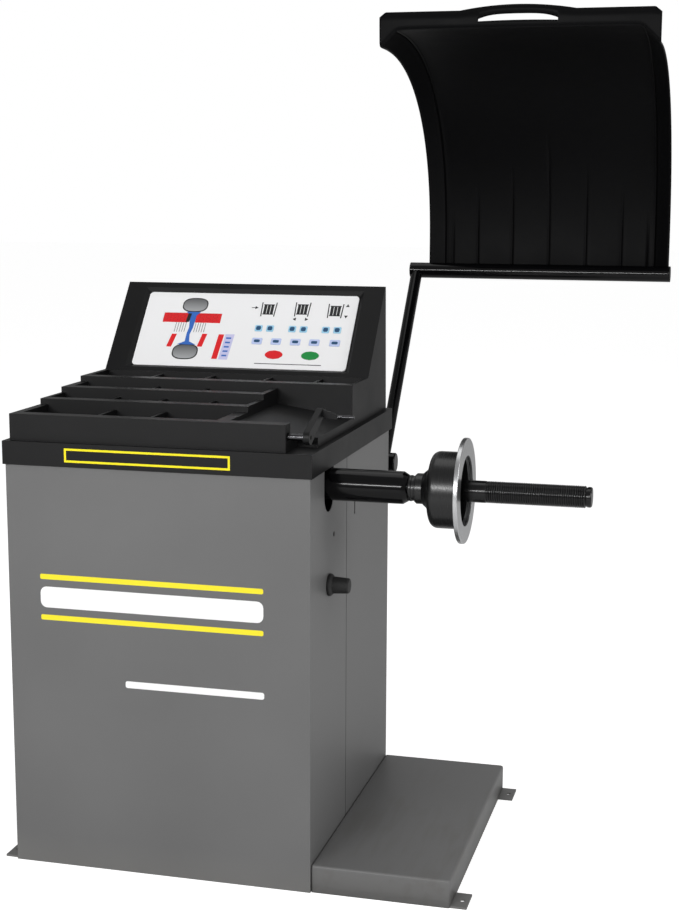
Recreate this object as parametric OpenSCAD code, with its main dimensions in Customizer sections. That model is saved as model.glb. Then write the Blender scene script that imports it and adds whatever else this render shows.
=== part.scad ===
// Wheel balancer for a car workshop: a sheet-steel cabinet with a wheel platform, a moulded weight
// tray and display head, a belt-driven balancing spindle, a distance gauge and a swinging hood.
// Origin: centre of the four floor-anchor holes, on the floor. +X along the spindle towards the
// wheel, +Y to the rear, +Z up.

/* [Cabinet] */
// Width of the sheet-steel cabinet
cab_w = 588; // [560:1:620]
// Depth of the cabinet
cab_d = 613; // [590:1:630]
// Height of the tray rim above the floor
rim_z = 820; // [810:1:830]
// Thickness of the sheet steel
sheet = 2; // [1.5:0.5:2.5]
// How far the front shell's side wings reach back
wing_d = 260; // [250:1:270]

/* [Platform and anchors] */
// Width of the wheel platform beside the cabinet
deck_w = 261; // [240:1:280]
// Height of the platform
deck_h = 53; // [45:1:60]
// Anchor hole spacing, left to right
anchor_x = 880; // [878:1:882]
// Anchor hole spacing, front to rear
anchor_y = 540; // [530:1:545]
// Anchor hole radius
anchor_r = 5.5; // [4:0.5:6]

/* [Weight tray] */
// Height of the skirt that laps over the cabinet
skirt_h = 44; // [40:1:48]
// Height of the first row's top above the rim
row_base = 50; // [46:1:54]
// Rise from each row of bins to the next
row_rise = 11; // [9:1:12]
// Depth of each bin at its rear wall
bin_depth = 27; // [20:1:30]
// Wall thickness of the moulding
wall = 3; // [2.5:0.5:3]

/* [Display head] */
// Tilt of the display face from level
face_tilt = 50.3; // [48:0.1:52]
// Length of the display face along its slope
face_len = 228; // [222:1:232]
// Width of the white control panel
panel_w = 467; // [450:1:475]
// Height of the white control panel along the slope
panel_h = 188; // [180:1:192]
// Travel of a panel key
key_travel = 0.5; // [0.3:0.1:0.8]

/* [Spindle] */
// Height of the spindle axis
axis_z = 745; // [740:1:748]
// Radius of the fixed bearing tube
tube_r = 30; // [29:0.5:31]
// Radius of the threaded shaft that takes the wheel
thread_r = 20; // [18:1:20]
// Length of the shaft beyond the flange face
thread_len = 225; // [200:1:240]
// Outer radius of the flange's steel face ring
ring_r = 96; // [90:1:100]
// Inner radius of the face ring
ring_bore = 64; // [60:1:65]

/* [Hood] */
// Length of the hood arm, pivot to pipe
arm_len = 518; // [500:1:530]
// How far the raised arm leans back from upright
arm_lean = 40; // [38:1:41]
// Width of the hood over its flared edges
hood_w = 544; // [520:1:548]
// Depth of the hood's curve
hood_run = 552; // [530:1:560]
// Height of the hood's curve
hood_rise = 443; // [435:1:455]

/* [Hidden] */
$fn = 64;

// cabinet walls in the anchor frame
cab_r = 162;
cab_l = cab_r - cab_w;
cab_f = -306;
cab_b = cab_f + cab_d;
deck_f = cab_f + 4;
seam_y = cab_f + wing_d;
seam_gap = 3;     // reveal between the front shell's wings and the rear cover
side_hole_r = 5;  // spare hole in the right wing
lug_t = 4;
lug_d = 60;
shell_top = rim_z - wall;

// tray and head outline, measured from the cabinet's front right corner
skirt_over = 4;
inset = 8;
row_y = [5, 140, 237, 331];
head_y = 460;
lip = 26;
tray_l = cab_l + inset;
tray_r = cab_r - inset;
block_r = 2;      // right end of the first three rows of bins
lip_r = 115;      // right end of the front lip
row_z = [for (k = [0:3]) rim_z + row_base + k * row_rise];
head_z = row_z[3];
head_top_y = head_y + face_len * cos(face_tilt);
head_top_z = head_z + face_len * sin(face_tilt);
head_back_y = 620;

// end walls and ribs of the bins, row by row
ribs = [
  [-405, -264, -161, -19],
  [-413, -295, -198, -96, -6],
  [-404, -248, -144, -6],
  [-410, -287, -173, -49, 58, 149]
];
rib_t = 6;
rib_drop = 5;

// spindle stations along X
axis_y = cab_f + 128;
tube_in = -70;
tube_end = 303;
neck_x = 314;
ring_back = 410.5;
ring_front = 419;
bearing_r = 17.5;
run_fit = 0.05;

// drive
belt_x = -104;
belt_w = 16;
big_r = 58;
small_r = 19;
motor_y = 6;
motor_z = 452;
belt_gap = 0.35;

// gauge
rod_y = cab_f + 20;
rod_z = 847;
rod_r = 6;
arm_x = 146;
arm_t = 11.5;
tip_y = rod_y + 82;
tip_z = rod_z + 34;

// hood
pivot_y = cab_f + 657;
pivot_z = 697;
hood_arm_x = 140;
arm_r = 13;
pipe_r = 17.5;
pipe_y = pivot_y + arm_len * sin(arm_lean);
pipe_z = pivot_z + arm_len * cos(arm_lean);
guard_t = 3.5;
guard_l = 169;
curve_z = pipe_z + 56;
curve_y = pipe_y + 36 - hood_run;
cheek = 34;
lip_rise = 28;
hood_screw_x = [for (k = [0:4]) guard_l + 60 + k * (hood_w - 120) / 4];

// ---- helpers -------------------------------------------------------------------------------

// a block given by its lowest and highest corners
module block(lo, hi) {
  translate(lo) cube(hi - lo);
}

// a cylinder along +X from x0 to x1
module rod_x(x0, x1, r, y, z) {
  translate([x0, y, z]) rotate([0, 90, 0]) cylinder(h = x1 - x0, r = r);
}

// a cylinder of length l along +Y from y0
module rod_y(x, y0, l, r, z) {
  translate([x, y0, z]) rotate([-90, 0, 0]) cylinder(h = l, r = r);
}

// a round shape turned about the X axis; the outline gives [radius, x]
module turned(points, y, z) {
  translate([0, y, z]) rotate([0, 90, 0]) rotate_extrude() polygon(points);
}

// a YZ outline given thickness along X
module slab_x(x0, x1) {
  translate([x0, 0, 0]) rotate([90, 0, 90]) linear_extrude(x1 - x0) children();
}

// the display face's own frame: x across, y up the slope, z out of the face
module on_face() {
  translate([(tray_l + tray_r) / 2, cab_f + head_y, head_z]) rotate([face_tilt, 0, 0]) children();
}

module rounded(w, h, r) {
  offset(r) square([w - 2 * r, h - 2 * r], center = true);
}

// pan-head screw along +Y, its head outside at y = 0
module screw_y(x, y, z) {
  translate([x, y, z]) rotate([-90, 0, 0]) {
    translate([0, 0, -9]) cylinder(h = 9, r = 2);
    cylinder(h = 2.4, r = 4);
  }
}

// ---- base and cabinet ------------------------------------------------------------------------

module base_pan() {
  color("dimgray") difference() {
    block([cab_l + sheet, cab_f + sheet, 0], [cab_r - sheet, cab_b - sheet, 40]);
    block([cab_l + 2 * sheet, cab_f + 2 * sheet, 3], [cab_r - 2 * sheet, cab_b - 2 * sheet, 41]);
    for (x = cover_screw_x) rod_y_hole(x, cab_b - 9, 24);
  }
}

// clearance hole along Y for a cover screw
module rod_y_hole(x, y, z) {
  rod_y(x, y, 20, 2.05, z);
}

module wheel_platform() {
  color([0.42, 0.42, 0.42]) difference() {
    block([cab_r, deck_f, 0], [cab_r + deck_w, cab_b, deck_h]);
    block([cab_r + sheet, deck_f + sheet, -1],
          [cab_r + deck_w - sheet, cab_b - sheet, deck_h - sheet]);
  }
}

module floor_lugs() {
  color([0.42, 0.42, 0.42]) for (sx = [-1, 1], sy = [-1, 1]) {
    inner = sx < 0 ? cab_l : cab_r + deck_w;
    outer = sx < 0 ? cab_l - 27 : cab_r + deck_w + 30;
    difference() {
      block([min(inner, outer), sy * anchor_y / 2 - lug_d / 2, 0],
            [max(inner, outer), sy * anchor_y / 2 + lug_d / 2, lug_t]);
      translate([sx * anchor_x / 2, sy * anchor_y / 2, -1]) cylinder(h = lug_t + 2, r = anchor_r);
    }
  }
}

// upright slot with round ends through the right side wall
module spindle_slot(x0) {
  slab_x(x0, x0 + 12) hull() for (s = [-1, 1])
    translate([axis_y, axis_z + s * 19]) circle(33);
}

module front_shell() {
  color([0.44, 0.44, 0.44]) difference() {
    block([cab_l, cab_f, 0], [cab_r, seam_y - seam_gap, shell_top]);
    block([cab_l + sheet, cab_f + sheet, -1], [cab_r - sheet, seam_y + 1, shell_top + 1]);
    spindle_slot(cab_r - 5);
    rod_x(cab_r - 5, cab_r + 1, 8, axis_y, 554);
    rod_x(cab_r - 5, cab_r + 1, side_hole_r, axis_y + 36, 643);
  }
}

cover_screw_x = [cab_l + 60, cab_l + 216, cab_r - 216, cab_r - 60];
cover_screw_z = [24, 762];
frame_z = 748;

module rear_cover() {
  color([0.47, 0.47, 0.47]) difference() {
    block([cab_l, seam_y, 0], [cab_r, cab_b, shell_top]);
    block([cab_l + sheet, seam_y - 1, -1], [cab_r - sheet, cab_b - sheet, shell_top + 1]);
    for (x = cover_screw_x, z = cover_screw_z) rod_y_hole(x, cab_b - 9, z);
    for (k = [0:7]) block([-260, cab_b - 5, 240 + 22 * k], [-100, cab_b + 1, 246 + 22 * k]);
    block([cab_r - 5, cab_f + 317.5, 650], [cab_r + 1, cab_f + 325.5, 690]);
    block([cab_l - 1, 169, 600], [cab_l + 5, 191, 630]);
    block([cab_l - 1, 166, 533], [cab_l + 5, 194, 567]);
  }
}

module cover_screws() {
  color("silver") {
    for (x = cover_screw_x, z = cover_screw_z) screw_y(x, cab_b, z);
    for (x = head_screw_x, z = head_screw_z) on_rear(x, z) screw_y(0, plate_t + 0.05, 0);
  }
}

// angle-section ring that ties the shells together and carries the tray
module top_frame() {
  color("dimgray") difference() {
    block([cab_l + sheet, cab_f + sheet, frame_z], [cab_r - sheet, cab_b - sheet, shell_top]);
    block([cab_l + sheet + 3, cab_f + sheet + 3, 0], [cab_r - sheet - 3, cab_b - sheet - 3,
          shell_top - 3]);
    block([cab_l + 24, cab_f + 24, 0], [cab_r - 24, cab_b - 24, 900]);
    spindle_slot(cab_r - 8);
    for (x = cover_screw_x) rod_y_hole(x, cab_b - 12, cover_screw_z[1]);
  }
}

// ---- weight tray and display head -------------------------------------------------------------

// stepped side outline of the rows, the recess wall and the head; g is the wall taken off
module rows_outline(g) {
  polygon([
    [row_y[0] + g, rim_z - 6], [row_y[0] + g, row_z[0] - g],
    [row_y[1] + g, row_z[0] - g], [row_y[1] + g, row_z[1] - g],
    [row_y[2] + g, row_z[1] - g], [row_y[2] + g, row_z[2] - g],
    [row_y[3] + g, row_z[2] - g], [row_y[3] + g, rim_z - 6]]);
}

module head_outline(g) {
  polygon([
    [row_y[3] + g, rim_z - 6], [row_y[3] + g, row_z[3] - g],
    [head_y + 0.5 * g, head_z - g],
    [head_top_y + 0.3 * g, head_top_z - 1.6 * g],
    [head_top_y + 5 - g, head_top_z - 1.6 * g - 1],
    [head_back_y - g, rim_z - 6]]);
}

function floor_z(x) = rim_z + 42 - 24 * (x - block_r) / (tray_r - block_r);

// low sloping floor right of the bins, cut away at the front corner round the gauge arm
module recess_floor(g) {
  difference() {
    translate([0, cab_f + row_y[3], 0]) rotate([90, 0, 0]) linear_extrude(row_y[3] - 30)
      polygon([[block_r - 5, rim_z - 6], [block_r - 5, floor_z(block_r - 5) - g],
               [tray_r - g, floor_z(tray_r - g) - g], [tray_r - g, rim_z - 6]]);
    block([lip_r - g, cab_f, 0], [cab_r, cab_f + 79 + g, 900]);
  }
}

module tray_outer() {
  block([cab_l - skirt_over, cab_f - skirt_over, rim_z - skirt_h],
        [cab_r + skirt_over, cab_b + 14, rim_z]);
  translate([0, cab_f, 0]) {
    slab_x(tray_l, block_r) rows_outline(0);
    slab_x(tray_l, tray_r) head_outline(0);
  }
  block([block_r - 1, cab_f + row_y[0], rim_z - 6], [lip_r, cab_f + row_y[0] + 30, row_z[0]]);
  recess_floor(0);
}

module tray_inner() {
  block([cab_l - skirt_over + wall, cab_f - skirt_over + wall, rim_z - skirt_h - 1],
        [cab_r + skirt_over - wall, cab_b + 14 - wall, rim_z - wall]);
  translate([0, cab_f, 0]) {
    slab_x(tray_l + wall, block_r - wall) rows_outline(wall);
    slab_x(tray_l + wall, tray_r - wall) head_outline(wall);
  }
  block([block_r - 6, cab_f + row_y[0] + wall, rim_z - 6],
        [lip_r - wall, cab_f + row_y[0] + 30 - wall, row_z[0] - wall]);
  recess_floor(wall);
}

function bin_rear(k) = cab_f + (k < 3 ? row_y[k + 1] : head_y - 8);

// a bin: shallow behind its front lip and deep at its rear wall; g grows it into its shell
module bin(k, x, g) {
  y0 = cab_f + row_y[k] + lip;
  y1 = bin_rear(k);
  slab_x(x[0] - g, x[1] + g) polygon([
    [y0 - g, row_z[k] + (g > 0 ? 0 : 1)], [y0 - g, row_z[k] - 4 - g],
    [y1 - 26, row_z[k] - bin_depth - g], [y1 + g, row_z[k] - bin_depth - g],
    [y1 + g, row_z[k] + (g > 0 ? 0 : 1)]]);
}

module bins(g) {
  for (k = [0:3], i = [0:len(ribs[k]) - 2])
    bin(k, [ribs[k][i] + rib_t / 2, ribs[k][i + 1] - rib_t / 2], g);
}

module top_cover() {
  color([0.13, 0.13, 0.14]) difference() {
    union() {
      difference() {
        tray_outer();
        tray_inner();
      }
      bins(wall);
      // ledge that the control panel sits on
      on_face() translate([0, face_mid, panel_z - 6]) linear_extrude(5.5 - panel_z)
        rounded(panel_w + 28, panel_h + 24, 8);
    }
    bins(0);
    // the ribs stand lower than the rims
    for (k = [0:3]) block(
      [ribs[k][0] + rib_t / 2, cab_f + row_y[k] + lip, row_z[k] - rib_drop],
      [ribs[k][len(ribs[k]) - 1] - rib_t / 2, bin_rear(k), row_z[k] + 1]);
    // seat and opening of the control panel
    on_face() translate([0, face_mid, 0]) {
      translate([0, 0, panel_z - panel_t / 2])
        cube([panel_w + 1, panel_h + 1, panel_t], center = true);
      // sloping walls down to the panel
      hull() {
        translate([0, 0, panel_z - 0.5]) cube([panel_w + 1, panel_h + 1, 1], center = true);
        translate([0, 0, 1]) cube([panel_w + 20, panel_h + 18, 1], center = true);
      }
    }
    on_face() translate([0, face_mid, -30]) cube([panel_w - 14, panel_h - 14, 60], center = true);
    // rear opening of the head
    block([tray_l + 12, cab_b - 13, rim_z + 20], [tray_r - 12, cab_b + 40, head_top_z - 40]);
    for (x = head_screw_x, z = head_screw_z) on_rear(x, z) rod_y_hole(0, -12, 0);
    // way out for the gauge rod
    rod_x(lip_r - 5, lip_r + 1, rod_r + 2, rod_y, rod_z);
  }
}

face_mid = 112;
panel_z = -6;     // front of the panel below the face
panel_t = 3;

// rear face of the head: its place at height z, and the lean it has
function rear_y(z) = cab_f + head_back_y
  + (head_top_y + 5 - head_back_y) * (z - rim_z + 6) / (head_top_z - rim_z + 6);
rear_lean = atan((head_back_y - head_top_y - 5) / (head_top_z - rim_z + 6));
plate_t = 1.5;
head_screw_x = [tray_l + 7, tray_r - 7];
head_screw_z = [rim_z + 50, head_top_z - 60];

// anything fastened square to the head's rear face
module on_rear(x, z) {
  translate([x, rear_y(z), z]) rotate([rear_lean, 0, 0]) children();
}

// sheet plate that closes the head from behind
module head_rear_panel() {
  color([0.13, 0.13, 0.14]) difference() {
    slab_x(tray_l + 1, tray_r - 1) polygon([
      for (p = [[rim_z + 2, 0], [head_top_z - 16, 0], [head_top_z - 16, 1], [rim_z + 2, 1]])
        [rear_y(p[0]) + p[1] * plate_t, p[0]]]);
    for (k = [0:4]) block([-220, cab_b - 5, rim_z + 60 + 14 * k],
                          [-40, cab_b + 20, rim_z + 65 + 14 * k]);
    for (x = head_screw_x, z = head_screw_z) on_rear(x, z) rod_y_hole(0, -10, 0);
  }
}

// ---- control panel ---------------------------------------------------------------------------

// places on the panel: x from its middle, y from its middle up the slope
step_x = [28.5, 53.5, 102, 126.5, 174.5, 199.5];
step_y = 6.5;
menu_x = [31, 72.5, 114.5, 155.5, 199.5];
menu_y = -26;
oval_x = [74, 152.5];
oval_y = -59;
readout_x = [-161, -88];
readout_y = 29;
step_size = [16, 16];
menu_size = [22, 16];
key_gap = 0.3;
key_proud = 0.8;   // how far a key stands out of the panel
oval_proud = 1;    // the same for the two oval buttons

module key_shape(size, g) {
  rounded(size[0] + 2 * g, size[1] + 2 * g, 3);
}

module oval_shape(g) {
  // circles along the long axis that each touch one ellipse, 38 by 21
  hull() for (c = [[0, 10.5], [8, 9.1], [13.2, 5.8]], s = [-1, 1])
    translate([s * c[0], 0]) circle(c[1] + g);
}

module on_panel(x, y) {
  on_face() translate([x, face_mid + y, 0]) children();
}

module control_panel() {
  color([0.93, 0.93, 0.93]) on_face() translate([0, face_mid, panel_z - panel_t])
    linear_extrude(panel_t) difference() {
      rounded(panel_w, panel_h, 8);
      for (x = step_x) translate([x, step_y]) key_shape(step_size, key_gap);
      for (x = menu_x) translate([x, menu_y]) key_shape(menu_size, key_gap);
      for (x = oval_x) translate([x, oval_y]) oval_shape(key_gap);
      for (x = readout_x) translate([x, readout_y]) square([57, 25], center = true);
    }
}

module step_key(k) {
  on_panel(step_x[k], step_y) translate([0, 0, panel_z - panel_t - key_travel])
    linear_extrude(panel_t + key_travel + key_proud) key_shape(step_size, 0);
}

module menu_key(k) {
  on_panel(menu_x[k], menu_y) translate([0, 0, panel_z - panel_t - key_travel])
    linear_extrude(panel_t + key_travel + key_proud) key_shape(menu_size, 0);
}

module oval_key(k) {
  on_panel(oval_x[k], oval_y) translate([0, 0, panel_z - panel_t - key_travel])
    linear_extrude(panel_t + key_travel + oval_proud) oval_shape(0);
}

module stop_button() { color("red") oval_key(0); }
module start_button() { color("green") oval_key(1); }
module key_distance_down() { color("steelblue") step_key(0); }
module key_distance_up() { color("steelblue") step_key(1); }
module key_width_down() { color("steelblue") step_key(2); }
module key_width_up() { color("steelblue") step_key(3); }
module key_diameter_down() { color("steelblue") step_key(4); }
module key_diameter_up() { color("steelblue") step_key(5); }
module key_unit() { color("steelblue") menu_key(0); }
module key_fine() { color("steelblue") menu_key(1); }
module key_mode() { color("steelblue") menu_key(2); }
module key_split() { color("steelblue") menu_key(3); }
module key_recalc() { color("steelblue") menu_key(4); }

module readouts() {
  color([0.35, 0.02, 0.02]) for (x = readout_x) on_panel(x, readout_y)
    translate([0, 0, (board_z + panel_z - 0.4) / 2])
      cube([56.4, 24.4, panel_z - 0.4 - board_z], center = true);
}

board_z = -16.8;  // top of the circuit board below the face

module computer_board() {
  color("darkgreen") on_face() translate([0, face_mid, board_z]) {
    translate([0, 0, -0.8]) cube([420, 150, 1.6], center = true);
    for (sx = [-1, 1], sy = [-1, 1]) translate([sx * 200, sy * 69, 0])
      cylinder(h = panel_z - panel_t - board_z, r = 3);
    for (k = [-2:2]) translate([k * 70, 30, -4.6]) cube([32, 14, 6], center = true);
    translate([60, -30, -5.6]) cube([44, 30, 8], center = true);
    for (s = [-1, 1]) translate([s * 200, -40, -9.6]) cylinder(h = 8, r = 8);
  }
}

// ---- spindle unit ----------------------------------------------------------------------------

post_x = [-62, 62];
post_y = [axis_y - 55, axis_y + 55];
post_top = 640;

module support_post() {
  color("dimgray") {
    difference() {
      block([post_x[0], post_y[0], 7], [post_x[1], post_y[1], post_top]);
      block([post_x[0] + 4, post_y[0] + 4, 0], [post_x[1] - 4, post_y[1] - 4, post_top - 8]);
    }
    difference() {
      block([post_x[0] - 40, post_y[0] - 30, 3], [post_x[1] + 40, post_y[1] + 30, 7]);
      block([post_x[0] + 10, post_y[0] + 10, 0], [post_x[1] - 10, post_y[1] - 10, 8]);
    }
  }
}

// two thin flexure plates carry a saddle that holds the bearing tube
module vibration_frame() {
  color("slategray") difference() {
    union() {
      block([-58, axis_y - 45, post_top], [58, axis_y + 45, post_top + 8]);
      for (s = [-1, 1]) block([s * 48 - 1.5, axis_y - 40, post_top + 8],
                              [s * 48 + 1.5, axis_y + 40, 694]);
      block([-56, axis_y - 45, 694], [56, axis_y + 45, 735]);
    }
    rod_x(-60, 60, tube_r, axis_y, axis_z);
  }
}

// piezo force sensors, one upright under the saddle and one level beside it
module force_sensors() {
  color("gold") {
    translate([0, axis_y, post_top + 8]) cylinder(h = 46, r = 13);
    translate([0, axis_y + 45, 712]) rotate([-90, 0, 0]) cylinder(h = 18, r = 13);
    block([-20, axis_y + 63, 640], [20, axis_y + 69, 730]);
    block([-20, axis_y + 55, 600], [20, axis_y + 69, 640]);
  }
}

module spindle_housing() {
  color([0.06, 0.06, 0.06]) turned([
    [25, tube_in], [tube_r, tube_in], [tube_r, tube_end], [24, neck_x - 1], [19, neck_x - 1],
    [19, tube_end - 4], [25, tube_end - 4]], axis_y, axis_z);
}

module spindle_bearings() {
  color("silver") for (x = [tube_in + 4, tube_end - 30])
    turned([[bearing_r + run_fit, x], [25, x], [25, x + 18], [bearing_r + run_fit, x + 18]],
           axis_y, axis_z);
}

shaft_end = 372;
cup_seat_r = 15;
pulley_seat_r = 12.5;

module spindle_shaft() {
  color("gray") turned([
    [0, -146], [pulley_seat_r, -146], [pulley_seat_r, tube_in - 6], [bearing_r, tube_in - 6],
    [bearing_r, neck_x], [cup_seat_r, neck_x], [cup_seat_r, shaft_end], [0, shaft_end]],
    axis_y, axis_z);
}

// black hub: ridged neck, collar, concave flare and a hollow drum
module flange_cup() {
  color([0.05, 0.05, 0.05]) turned(concat(
    [[cup_seat_r, neck_x], [cup_seat_r, shaft_end], [36, shaft_end], [60, 384], [60, ring_back],
     [70, ring_back], [70, 370]],
    [for (a = [0:15:90]) [58 + 12 * cos(a), 370 - 14 * sin(a)]],
    [[48, 354], [36, 348], [30, 341], [28, 340], [28, 328], [26, 327], [26, 325.5], [23, 324.5],
     [23, 320], [24, 319], [24, neck_x + 2], [23, neck_x]]), axis_y, axis_z);
}

module face_ring() {
  color("silver") turned([
    [ring_bore, ring_back], [ring_r - 1, ring_back], [ring_r, ring_back + 1],
    [ring_r, ring_front - 1], [ring_r - 1, ring_front], [ring_bore, ring_front]],
    axis_y, axis_z);
}

thread_x = [457, ring_front + thread_len - 10];
pitch = 4;
teeth = floor((thread_x[1] - thread_x[0]) / pitch);

// smooth root, then the thread as rings at its true pitch, then a plain tip
module threaded_shaft() {
  color([0.08, 0.08, 0.08]) turned(concat(
    [[0, shaft_end], [34, shaft_end], [34, shaft_end + 8], [thread_r, shaft_end + 12],
     [thread_r, thread_x[0] - 2], [thread_r - 1.2, thread_x[0] - 1]],
    [for (k = [0:teeth - 1], p = [[-1.2, 0.2], [0, 1.2], [0, 2.6], [-1.2, 3.6]])
      [thread_r + p[0], thread_x[0] + k * pitch + p[1]]],
    [[thread_r - 3, thread_x[1]], [thread_r - 3, thread_x[1] + 2],
     [thread_r - 1.6, thread_x[1] + 2], [thread_r - 1.6, ring_front + thread_len - 2],
     [thread_r - 3.6, ring_front + thread_len], [0, ring_front + thread_len]]), axis_y, axis_z);
}

module spindle_pulley() {
  color("silver") turned([
    [pulley_seat_r, belt_x - belt_w / 2 - 4], [big_r + 3, belt_x - belt_w / 2 - 4],
    [big_r + 3, belt_x - belt_w / 2 - 1], [big_r, belt_x - belt_w / 2 - 1],
    [big_r, belt_x + belt_w / 2 + 1], [big_r + 3, belt_x + belt_w / 2 + 1],
    [big_r + 3, belt_x + belt_w / 2 + 4], [pulley_seat_r, belt_x + belt_w / 2 + 4]],
    axis_y, axis_z);
}

disc_x = -130;

module encoder_disc() {
  color("whitesmoke") difference() {
    turned([[pulley_seat_r, disc_x], [44, disc_x], [44, disc_x + 2], [pulley_seat_r, disc_x + 2]],
           axis_y, axis_z);
    for (k = [0:15]) translate([0, axis_y, axis_z]) rotate([k * 22.5, 0, 0])
      block([disc_x - 1, -1.5, 34], [disc_x + 3, 1.5, 40]);
  }
}

// optical fork that reads the disc's slots
module encoder_sensor() {
  color([0.1, 0.1, 0.1]) {
    difference() {
      block([disc_x - 8, axis_y - 10, axis_z - 58], [disc_x + 10, axis_y + 10, axis_z - 36]);
      block([disc_x - 2, axis_y - 11, axis_z - 47], [disc_x + 4, axis_y + 11, axis_z - 30]);
    }
    block([disc_x - 6, axis_y - 8, 600], [disc_x - 2, axis_y + 8, axis_z - 58]);
    block([disc_x - 2, axis_y - 8, 600], [post_x[0], axis_y + 8, 604]);
  }
}

// ---- drive -----------------------------------------------------------------------------------

module drive_motor() {
  color("dimgray") {
    turned([[7 + run_fit, -84], [62, -84], [66, -80], [66, 84], [60, 90], [0, 90], [0, -30],
            [7 + run_fit, -30]], motor_y, motor_z);
    block([-60, motor_y - 74, motor_z - 30], [40, motor_y - 60, motor_z + 30]);
  }
}

module motor_bracket() {
  color("slategray") difference() {
    block([-70, post_y[1], motor_z - 50], [50, motor_y - 74, motor_z + 50]);
    block([-71, post_y[1] + 5, motor_z - 45], [51, motor_y - 79, motor_z + 45]);
  }
}

module motor_pulley() {
  color("silver") turned([
    [0, belt_x - belt_w / 2 - 4], [small_r + 3, belt_x - belt_w / 2 - 4],
    [small_r + 3, belt_x - belt_w / 2 - 1], [small_r, belt_x - belt_w / 2 - 1],
    [small_r, belt_x + belt_w / 2 + 1], [small_r + 3, belt_x + belt_w / 2 + 1],
    [small_r + 3, belt_x + belt_w / 2 + 4], [7, belt_x + belt_w / 2 + 4], [7, -32], [0, -32]],
    motor_y, motor_z);
}

module belt_outline(g) {
  hull() {
    translate([axis_y, axis_z]) circle(big_r + g);
    translate([motor_y, motor_z]) circle(small_r + g);
  }
}

module drive_belt() {
  color([0.05, 0.05, 0.05]) slab_x(belt_x - belt_w / 2, belt_x + belt_w / 2) difference() {
    belt_outline(belt_gap + 2.4);
    belt_outline(belt_gap);
  }
}

// ---- distance gauge ----------------------------------------------------------------------------

bush_x = [[10, 22], [88, 100]];
carriage_x = -262;

module gauge_bushes() {
  color("tan") for (b = bush_x) difference() {
    block([b[0], rod_y - 11, rod_z - 11], [b[1], rod_y + 11, row_z[0] - wall]);
    rod_x(b[0] - 1, b[1] + 1, rod_r + run_fit, rod_y, rod_z);
  }
}

module gauge_sensor() {
  color([0.2, 0.2, 0.22]) {
    block([carriage_x - 14, rod_y - 9, shell_top], [0, rod_y + 9, 830]);
    for (x = [carriage_x - 22, 0]) block([x, rod_y - 9, shell_top], [x + 8, rod_y + 9, shell_top + 3]);
  }
}

module gauge_carriage() {
  color("gray") difference() {
    block([carriage_x, rod_y - 10, 830.5], [carriage_x + 20, rod_y + 10, rod_z + 11]);
    rod_x(carriage_x - 1, carriage_x + 21, rod_r + run_fit, rod_y, rod_z);
  }
}

module gauge_rod() {
  color("silver") rod_x(carriage_x - 6, arm_x, rod_r, rod_y, rod_z);
}

module gauge_arm() {
  color([0.12, 0.12, 0.12]) difference() {
    union() {
      slab_x(arm_x, arm_x + arm_t) hull() {
        translate([rod_y, rod_z]) circle(13);
        translate([tip_y, tip_z]) circle(8);
      }
      translate([0, tip_y + 5, 0]) rotate([90, 0, 0]) linear_extrude(10) polygon([
        [arm_x + arm_t - 1, tip_z - 7], [arm_x + arm_t - 1, tip_z + 6.5],
        [arm_x + 38, tip_z - 3], [arm_x + 38, tip_z - 11], [arm_x + 20, tip_z - 11]]);
    }
    rod_x(arm_x + arm_t - 3, arm_x + arm_t + 1, 4, rod_y, rod_z);
    rod_x(arm_x + 24, arm_x + 39, 3, tip_y, tip_z - 7);
  }
}

module gauge_pin() {
  color("silver") rod_x(arm_x + 24, arm_x + 70, 3, tip_y, tip_z - 7);
}

// ---- hood --------------------------------------------------------------------------------------

ear_x = [[22, 30], [92, 100]];
shaft_r = 12;

module hood_bracket() {
  color("dimgray") {
    difference() {
      union() {
        for (e = ear_x) slab_x(e[0], e[1]) hull() {
          translate([pivot_y, pivot_z]) circle(22);
          translate([cab_b + 3, pivot_z - 40]) square([6, 80]);
        }
        block([8, cab_b, pivot_z - 45], [114, cab_b + 6, pivot_z + 45]);
      }
      rod_x(0, 120, shaft_r + run_fit, pivot_y, pivot_z);
    }
  }
}

coils = 12;
coil_pitch = (ear_x[1][0] - ear_x[0][1]) / coils;

// closed coils of the torsion spring that balances the hood
module hood_spring() {
  color("silver") turned(concat(
    [[15, ear_x[0][1]]],
    [for (k = [0:coils - 1], a = [-60:30:60])
      [16.2 + 2.4 * cos(a), ear_x[0][1] + coil_pitch * (k + 0.5 + 0.5 * sin(a))]],
    [[15, ear_x[1][0]]]), pivot_y, pivot_z);
}

module hood_switch() {
  color([0.1, 0.1, 0.1]) {
    block([36, cab_b + 6, pivot_z + 24], [64, cab_b + 16, pivot_z + 40]);
    block([40, cab_b + 16, pivot_z + 28], [60, cab_b + 18, pivot_z + 36]);
  }
}

module hood_shaft() {
  color("dimgray") turned([
    [0, 12], [shaft_r + 4, 12], [shaft_r + 4, 20], [shaft_r, 20], [shaft_r, 108], [20.5, 108],
    [21, 110], [21, 167], [19, 169], [0, 169]], pivot_y, pivot_z);
}

module hood_arm() {
  color([0.06, 0.06, 0.06]) difference() {
    translate([hood_arm_x, pivot_y, pivot_z]) rotate([-arm_lean, 0, 0])
      translate([0, 0, 19]) cylinder(h = arm_len - 19 - 8, r = arm_r);
    rod_x(hood_arm_x - 40, hood_arm_x + 40, 21, pivot_y, pivot_z);
    rod_x(hood_arm_x - 40, hood_arm_x + 40, pipe_r, pipe_y, pipe_z);
  }
}

pipe_l = 125;
pipe_end = guard_l + hood_w + 4;

module hood_pipe() {
  color([0.07, 0.07, 0.07]) difference() {
    rod_x(pipe_l + 2, pipe_end - 2, pipe_r, pipe_y, pipe_z);
    rod_x(pipe_l, pipe_end + 1, pipe_r - 2, pipe_y, pipe_z);
  }
}

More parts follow.
